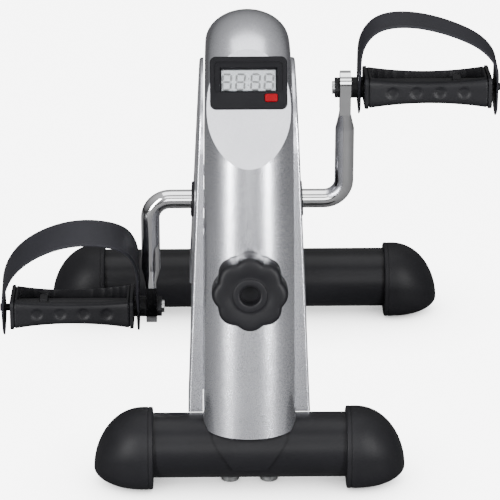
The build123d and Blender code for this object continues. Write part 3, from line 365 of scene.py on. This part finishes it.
def ring_faces(count, around):
    """Faces for count rings of around points: quads between rings, and fans to two end points."""
    index = np.arange(count * around).reshape(count, around)
    beside = np.roll(index, -1, axis=1)
    quads = np.stack([index[:-1], beside[:-1], beside[1:], index[1:]], axis=-1).reshape(-1, 4)
    first = np.full(around, count * around)
    fan_a = np.stack([beside[0], index[0], first], axis=-1)
    fan_b = np.stack([index[-1], beside[-1], first + 1], axis=-1)
    return quads.tolist() + fan_a.tolist() + fan_b.tolist()


def skin(name, rings):
    """A closed piece through rings, an array (rings, points, 3); it ends on the end rings' means."""
    count, around, _ = rings.shape
    ends = rings[[0, -1]].mean(axis=1)
    return mesh_object(name, np.concatenate([rings.reshape(-1, 3), ends]), ring_faces(count, around))


def smooth_path(points, count):
    """A natural cubic spline through the points over chord length t, read at count even places.

    Its second derivatives m solve h0*m0 + 2*(h0 + h1)*m1 + h1*m2 = 6*(slope1 - slope0) at each inner
    point, and are zero at both ends.
    """
    points = np.asarray(points, float)
    step = np.linalg.norm(np.diff(points, axis=0), axis=1)
    knots = np.concatenate([[0], np.cumsum(step)])
    slope = np.diff(points, axis=0) / step[:, None]
    inner = np.arange(1, len(points) - 1)
    matrix = np.eye(len(points))
    matrix[inner, inner - 1] = step[:-1]
    matrix[inner, inner] = 2 * (step[:-1] + step[1:])
    matrix[inner, inner + 1] = step[1:]
    bend = np.linalg.solve(matrix, np.pad(6 * np.diff(slope, axis=0), ((1, 1), (0, 0))))
    place = np.linspace(0, knots[-1], count)
    cell = np.clip(np.searchsorted(knots, place, side="right") - 1, 0, len(step) - 1)
    h = step[cell][:, None]
    ahead = knots[cell + 1][:, None] - place[:, None]
    behind = place[:, None] - knots[cell][:, None]
    curve = (bend[cell] * ahead**3 + bend[cell + 1] * behind**3) / (6 * h)
    start = points[cell] / h - bend[cell] * h / 6
    end = points[cell + 1] / h - bend[cell + 1] * h / 6
    return curve + (start * ahead + end * behind), place


def joint(name):
    """A joint's place in millimetres and its unit axis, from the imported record."""
    found = next(each for each in frame["record"]["behaviour"]["joints"] if each["name"] == name)
    return np.array(found["pos_m"]) / MM, np.array(found["axis"], float)


def node_box(name):
    """A CAD node's lower and upper corners in millimetres."""
    return np.array([list(corner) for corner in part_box(name)]) / MM


def cylinder(name, start, along, radius, length):
    """A closed round bar for cutting, from start along a unit direction."""
    along = np.asarray(along, float)
    helper = np.array([0.0, 0.0, 1.0]) if abs(along[2]) < 0.9 else np.array([1.0, 0.0, 0.0])
    side = np.cross(along, helper)
    side = side / np.linalg.norm(side)
    up = np.cross(along, side)
    turn = np.linspace(0, 2 * pi, 64, endpoint=False)[:, None]
    ring = np.asarray(start) + radius * (np.cos(turn) * side + np.sin(turn) * up)
    return skin(name, np.stack([ring, ring + along * length]))


def punch(piece, *cutters):
    """Cuts the cutters out of a piece, keeps the result as its mesh, and deletes the cutters."""
    for cutter in cutters:
        change = piece.modifiers.new("hole", "BOOLEAN")
        change.object = cutter
        change.operation = "DIFFERENCE"
        change.solver = "EXACT"
    graph = bpy.context.evaluated_depsgraph_get()
    mesh = bpy.data.meshes.new_from_object(piece.evaluated_get(graph))
    piece.modifiers.clear()
    piece.data = mesh
    piece.data.set_sharp_from_angle(angle=SHARP_ANGLE)
    for cutter in cutters:
        bpy.data.objects.remove(cutter)


def finish_piece(piece, body, slot, *nodes):
    """Gives a piece its finish, ties it to its body, and lets it stand for CAD nodes."""
    piece.data.materials.clear()
    piece.data.materials.append(FINISH[slot])
    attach(piece, body)
    if nodes:
        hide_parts(*nodes)


# %% [markdown]
# ## End caps
# On the real machine each is one moulding: a straight rim pressed over the tube, then a heavy dome that
# falls to a low nose and stands on a flat. It could be a lathed dome with its foot cut off, but the
# section is not round: it is a circle above and nearly square below. So each ring is a superellipse
# whose power changes from 2 above to 3.6 below, and the rings shrink towards a nose 12 mm above the
# floor.


# %% End caps
NOSE = 12.0
RIM = 7.0
TUBE_RADIUS = 25.0
ROUND_POWER, SQUARE_POWER = 2.0, 3.6
DOME_ALONG, DOME_ACROSS = 2.1, 1.9


def end_cap(node):
    """Rings with rho = (|cos|^n + |sin|^n)^(-1/n), n = 2 above and 3.6 below.

    Along the dome, t^2.1 + size^1.9 = 1, where t runs from 0 at the rim to 1 at the nose.
    """
    low, high = node_box(node)
    hand = np.sign(low[0])
    rim, nose = (low[0], high[0]) if hand > 0 else (high[0], low[0])
    radius = (high[1] - low[1]) / 2
    middle = high[2] - radius
    theta = np.linspace(0, 2 * pi, 128, endpoint=False)
    c, s = np.cos(theta), np.sin(theta)
    power = np.where(s >= 0, ROUND_POWER, SQUARE_POWER)
    rho = (np.abs(c) ** power + np.abs(s) ** power) ** (-1 / power)
    under = np.where(s < 0, middle / radius, 1.0)
    round_ring = np.stack([c, s], axis=-1)
    cap_ring = np.stack([c * rho, s * rho * under], axis=-1)
    # distance from the rim, radius, share of the cap's own outline against the tube's circle
    lip = np.array([
        [16, TUBE_RADIUS, 0], [0.5, TUBE_RADIUS, 0], [0, TUBE_RADIUS + 0.5, 0],
        [0, radius - 1.2, 1], [0.15, radius - 0.6, 1], [0.6, radius - 0.12, 1],
        [1.2, radius, 1], [3.1, radius, 1], [3.3, radius - 0.35, 1],
        [3.8, radius - 0.35, 1], [4.0, radius, 1], [RIM, radius, 1],
    ])
    swing = np.linspace(0, 1, 40)[1:-1]
    t = np.sin(pi / 2 * swing) ** (2 / DOME_ALONG)
    size = np.cos(pi / 2 * swing) ** (2 / DOME_ACROSS)
    depth = abs(nose - rim) - RIM
    dome = np.stack([RIM + depth * t, radius * size, np.ones_like(t)], axis=-1)
    rows = np.concatenate([lip, dome])
    heights = np.concatenate([np.full(len(lip), middle), NOSE + (middle - NOSE) * size])
    share = rows[:, 2, None, None]
    shape = rows[:, 1, None, None] * (share * cap_ring + (1 - share) * round_ring)
    rings = np.empty((*shape.shape[:2], 3))
    rings[..., 0] = rim + hand * rows[:, 0, None]
    rings[..., 1] = (low[1] + high[1]) / 2 + shape[..., 0]
    rings[..., 2] = heights[:, None] + shape[..., 1]
    return skin(node + "_cap", rings)


for node in ("front_left_foot", "front_right_foot", "rear_left_foot", "rear_right_foot"):
    cap = end_cap(node)
    finish_piece(cap, "base", "black_rubber", node)
    print(cap.name, len(cap.data.polygons), "faces")

# %% [markdown]
# ## Tension knob
# A thick moulded star knob of eight lobes, with a soft edge, a low hub and a deep round hole over the
# screw. Turning it on a lathe would lose the lobes; a ring whose radius swings with the angle gives
# both, and the swing fades out towards the hub.


# %% Tension knob
LOBE_DEPTH = 0.105
LOBE_SOFTNESS = 0.03


def star_knob():
    """r = R * (1 - d + d * sqrt((cos(4a)^2 + e) / (1 + e))), d = 0.105 and e = 0.03.

    That gives eight round lobes with narrow valleys; rows with no share of them are plain circles.
    """
    seat, inward = joint("knob_turn")
    out = -inward
    across = np.array([1.0, 0.0, 0.0])
    up = np.cross(out, across)
    theta = np.linspace(0, 2 * pi, 192, endpoint=False)
    wave = np.sqrt((np.cos(4 * theta) ** 2 + LOBE_SOFTNESS) / (1 + LOBE_SOFTNESS))
    lobes = 1 - LOBE_DEPTH + LOBE_DEPTH * wave
    # height above the seat, radius, share of the lobes
    rows = np.array([
        [0.4, 3.2, 0], [0.4, 12, 0], [0.4, 26.5, 1], [0.7, 27.6, 1], [1.6, 28.1, 1], [14, 28.5, 1],
        [20, 28.3, 1], [22, 27.9, 1], [23.3, 26.9, 1], [24.0, 25.4, 1], [24.3, 23, 1],
        [24.1, 19, 0.7], [23.5, 15.5, 0.2], [23.2, 14.2, 0], [23.4, 13.2, 0], [24.2, 12.6, 0],
        [24.4, 12, 0], [24.4, 9, 0], [24.2, 8.0, 0], [23.6, 7.5, 0], [14.4, 7.3, 0], [14.4, 3.4, 0],
    ])
    swing = rows[:, 2, None] * lobes + (1 - rows[:, 2, None])
    reach = rows[:, 1, None] * swing
    rings = (
        seat
        + rows[:, 0, None, None] * out
        + (reach * np.cos(theta))[..., None] * across
        + (reach * np.sin(theta))[..., None] * up
    )
    return skin("star_knob", rings)


knob = star_knob()
finish_piece(knob, "knob", "black_plastic", "tension_knob")
print("knob", len(knob.data.polygons), "faces")

# %% [markdown]
# ## Foot straps
# Each real strap is one strip of soft vinyl, moulded with a thin raised hem along both edges, bent up
# from the inner end of the pedal, over the shoe, and down to a peg at the outer end. A solid sketch
# would bend without a hem, so the strip is a section carried along a smooth path; its ends narrow to a
# half circle.


# %% Foot straps
STRAP_HALF = 15.0
STRAP_THICK, HEM_THICK = 1.2, 0.3
STRAP_PLACES = 220
# points on the strip's middle line: distance from the machine's middle, height above the spindle
RIGHT_ROUTE = [
    (87, -21), (87, 4), (87, 20), (89, 38), (99, 52),
    (118, 57), (142, 54), (165, 46), (183, 35), (192, 22), (193.4, 8), (193.4, -23),
]
LEFT_ROUTE = [
    (87, -21), (87, 8), (87, 32), (88, 54), (96, 71),
    (114, 79), (138, 79), (163, 69), (184, 49), (194, 22), (195, 0), (195, -25),
]


def strap(side, hand, lean, route):
    """A strip along a route: half width w = sqrt(r^2 - (r - d)^2) within r of its ends, else r = 15.

    Across it, half the thickness is 1.2 mm, and 0.3 mm more at a hem 0.88 w from the middle.
    """
    spindle, _ = joint(side + "_pedal_spin")
    path, place = smooth_path(route, STRAP_PLACES)
    along = np.gradient(path, axis=0)
    along = along / np.linalg.norm(along, axis=1)[:, None]
    normal = np.stack([along[:, 1], -along[:, 0]], axis=-1)
    d = np.minimum(place, place[-1] - place)
    half = np.sqrt(STRAP_HALF**2 - np.clip(STRAP_HALF - d, 0, None) ** 2) + 0.05
    turn = np.linspace(0, 2 * pi, 64, endpoint=False)
    c, s = np.cos(turn), np.sin(turn)
    u = np.sign(s) * np.abs(s) ** 0.8
    v = np.sign(c) * np.abs(c) ** 0.35
    hem = np.exp(-(((np.abs(u) - 0.88) / 0.05) ** 2))
    fade = np.clip(half / STRAP_HALF, 0.3, 1)[:, None]
    thick = (STRAP_THICK + HEM_THICK * hem) * v * fade
    wide = half[:, None] * u
    tip = np.array([0.0, -sin(lean), cos(lean)])
    width = np.array([0.0, cos(lean), sin(lean)])
    centre = np.array([0.0, spindle[1], spindle[2]])
    flat = path[:, None, :] + thick[..., None] * normal[:, None, :]
    rings = centre + wide[..., None] * width + flat[..., 1, None] * tip
    rings[..., 0] += hand * flat[..., 0]
    return skin(side + "_soft_strap", rings), centre


STRAPS = (("right", 1, radians(3), RIGHT_ROUTE), ("left", -1, radians(18), LEFT_ROUTE))
for side, hand, lean, route in STRAPS:
    band, centre = strap(side, hand, lean, route)
    outward = np.array([hand, 0, 0])
    punch(
        band,
        cylinder("boss_hole", centre + 81 * outward, outward, radius=8.7, length=11),
        cylinder("peg_hole", centre + 189.5 * outward, outward, radius=3.4, length=10),
    )
    finish_piece(band, side + "_pedal", "strap_vinyl", side + "_strap")
    print(band.name, len(band.data.polygons), "faces")

# %% [markdown]
# ## Pedals
# The real pedal is one moulding: a narrow-waisted block with a long open trough, a tube down its middle
# for the spindle, one cross rib, and four shallow round dimples on its front wall. A box with cuts
# would have hard edges, so each ring is a superellipse whose top is pushed down inside the trough by
# smooth steps.


# %% Pedals
PEDAL_LENGTH = 92.5
PEDAL_START = 93.5
PEDAL_TILT = radians(7)
HALF_DEPTH, HALF_HEIGHT = 23, 12.5
POWER = 6.0
EDGE_ROUND = 2
RIB_PLACE = PEDAL_LENGTH / 2 + 23
RIB_HALF = 3.8
DIMPLE_RADIUS, DIMPLE_DEPTH = 4.2, 0.9
SPINDLE_TUBE = 7.4
TROUGH_FLOOR = -6.6
TROUGH_HALF = 16.2


def even_angles(a, b, power, count):
    """Angles that set points evenly along a superellipse, read off its dense running length."""
    dense = np.linspace(0, 2 * pi, 8001)
    p, q = superellipse(dense, a, b, power)
    length = np.concatenate([[0], np.cumsum(np.hypot(np.diff(p), np.diff(q)))])
    return np.interp(np.linspace(0, length[-1], count, endpoint=False), length, dense)


def superellipse(angle, a, b, power):
    """p = a * cos|cos|^(2/n - 1), q = b * sin|sin|^(2/n - 1)."""
    c, s = np.cos(angle), np.sin(angle)
    return a * np.sign(c) * np.abs(c) ** (2 / power), b * np.sign(s) * np.abs(s) ** (2 / power)


def smooth_step(x):
    """0 below 0, 1 above 1, and 3x^2 - 2x^3 between."""
    x = np.clip(x, 0, 1)
    return x * x * (3 - 2 * x)


def pedal_block(side, hand):
    """Half sizes 23*(1 - 0.13w) and 12.5*(1 - 0.26w), w = 1 - (2s - 1)^2 over the length's share s.

    The top falls to the trough's floor, or onto the spindle's tube, and less far at the rib.
    """
    spindle, _ = joint(side + "_pedal_spin")
    end = np.array([0, 0.12, 0.45, 0.9, 1.4, 2.0, 2.3, 2.6, 2.9, 3.2, 3.6])
    rib = RIB_PLACE + np.array([-3.8, -3.4, -3.0, -2.6, 2.6, 3.0, 3.4, 3.8])
    between = np.linspace(4.5, PEDAL_LENGTH - 4.5, 80)
    station = np.unique(np.concatenate([end, PEDAL_LENGTH - end, rib, between]))
    waist = 1 - (2 * station / PEDAL_LENGTH - 1) ** 2
    d = np.minimum(station, PEDAL_LENGTH - station)
    inset = EDGE_ROUND - np.sqrt(EDGE_ROUND**2 - np.clip(EDGE_ROUND - d, 0, EDGE_ROUND) ** 2)
    deep = (HALF_DEPTH * (1 - 0.13 * waist) - inset)[:, None]
    high = (HALF_HEIGHT * (1 - 0.26 * waist) - inset)[:, None]
    angle = even_angles(22, 11, POWER, 300)[None, :]
    p, q = superellipse(angle, deep, high, POWER)
    # four dimples on the front wall
    for centre in PEDAL_LENGTH * np.array([0.2, 0.4, 0.6, 0.8]):
        spot = ((station[:, None] - centre) ** 2 + (q - 0.5) ** 2) / DIMPLE_RADIUS**2
        p = p + np.where(p < 0, DIMPLE_DEPTH * np.exp(-(spot**3)), 0)
    # trough: deep beside the spindle's tube, with one cross rib
    tube = np.sqrt(np.clip(SPINDLE_TUBE**2 - p**2, 0, None))
    floor_level = np.where(tube > 0, tube - 0.6, TROUGH_FLOOR)
    open_along = smooth_step((d[:, None] - 2.4) / 0.9)
    from_rib = np.abs(station[:, None] - RIB_PLACE)
    open_along = open_along * (1 - 0.7 * smooth_step((RIB_HALF - from_rib) / 0.9))
    open_across = smooth_step((TROUGH_HALF - np.abs(p)) / 0.8)
    fall = np.clip(q - floor_level, 0, None)
    q = np.where(q > 0, q - fall * open_along * open_across, q)
    rings = np.empty((len(station), p.shape[1], 3))
    rings[..., 0] = hand * (PEDAL_START + station[:, None])
    rings[..., 1] = spindle[1] + p * cos(PEDAL_TILT) + q * sin(PEDAL_TILT)
    rings[..., 2] = spindle[2] - p * sin(PEDAL_TILT) + q * cos(PEDAL_TILT)
    return skin(side + "_pedal_block", rings)


for side, hand in (("right", 1), ("left", -1)):
    block = pedal_block(side, hand)
    finish_piece(block, side + "_pedal", "black_plastic", side + "_pedal_body")
    print(block.name, len(block.data.polygons), "faces")

# %% [markdown]
# ## Display digits
# A reflective display shows dark, slightly slanted seven-segment digits and a colon. They could be
# painted, but thin plates just over the panel keep a crisp edge at any distance. The figures are plain
# eights.


# %% Display digits
# the housing's flat face runs from FACET_LOW to FACET_HIGH; the digits' middle is PANEL_UP along it,
# and their plates lie from PLATE_BACK to PLATE_FRONT behind it
FACET_LOW = np.array([0, -139.95, 258.3])
FACET_HIGH = np.array([0, -86.15, 332.8])
PANEL_UP = 67.3
DIGITS = (-16.2, -6.0, 5.2, 15.2)
SLANT = 0.07
PLATE_BACK, PLATE_FRONT = 3.21, 3.1


def display_digits():
    """Each bar is a hexagon (l, 0), (l - h, h), (h - l, h) ... of half length l and half width h.

    Upright bars are turned by a right angle, and all are sheared by x += 0.07 y.
    """
    wide, tall, h = 6.2, 11.8, 0.8
    # middle, and 1 for an upright bar
    bars = np.array([
        [0, tall / 2, 0], [0, 0, 0], [0, -tall / 2, 0],
        [-wide / 2, tall / 4, 1], [wide / 2, tall / 4, 1],
        [-wide / 2, -tall / 4, 1], [wide / 2, -tall / 4, 1],
    ])
    reach = np.where(bars[:, 2] > 0, tall / 2, wide) / 2 - 0.35
    corner = np.array([[-1, -1, 1, 1, 1, -1], [0, 1, 1, 0, -1, -1], [0, 1, -1, 0, -1, 1]])
    along = corner[0] * reach[:, None] + corner[2] * h
    flat = np.stack([along, np.tile(corner[1] * h, (len(bars), 1))], axis=-1)
    flat = np.where(bars[:, 2, None, None] > 0, flat[..., ::-1], flat) + bars[:, None, :2]
    figures = np.concatenate([flat + np.array([x, 0]) for x in DIGITS])
    dot = 0.6 * np.array([
        [1, 0], [0.5, 0.87], [-0.5, 0.87], [-1, 0], [-0.5, -0.87], [0.5, -0.87],
    ])
    colon = np.stack([dot + np.array([0, 2.4]), dot - np.array([0, 2.4])])
    plates = np.concatenate([figures, colon])
    plates[..., 0] += SLANT * plates[..., 1]
    across = np.array([1.0, 0.0, 0.0])
    up = (FACET_HIGH - FACET_LOW) / np.linalg.norm(FACET_HIGH - FACET_LOW)
    out = np.cross(across, up)
    base = FACET_LOW + PANEL_UP * up + plates[..., 0, None] * across + plates[..., 1, None] * up
    points = np.stack([base - PLATE_BACK * out, base - PLATE_FRONT * out], axis=1).reshape(-1, 3)
    start = 12 * np.arange(len(plates))[:, None]
    under = (start + np.arange(6)).tolist()
    over = (start + 6 + np.arange(6)).tolist()
    index = np.arange(6)
    side = np.stack([index, (index + 1) % 6, 6 + (index + 1) % 6, 6 + index], axis=-1)
    walls = (start[:, :, None] + side).reshape(-1, 4).tolist()
    return mesh_object("display_digits", points, under + over + walls)


digits = display_digits()
finish_piece(digits, "base", "display")
digits.data.materials[0] = moulded("display_ink", "#0C0E10", "#121416", 0.5, 1.0, 0.001)
print("digits", len(digits.data.polygons), "faces")
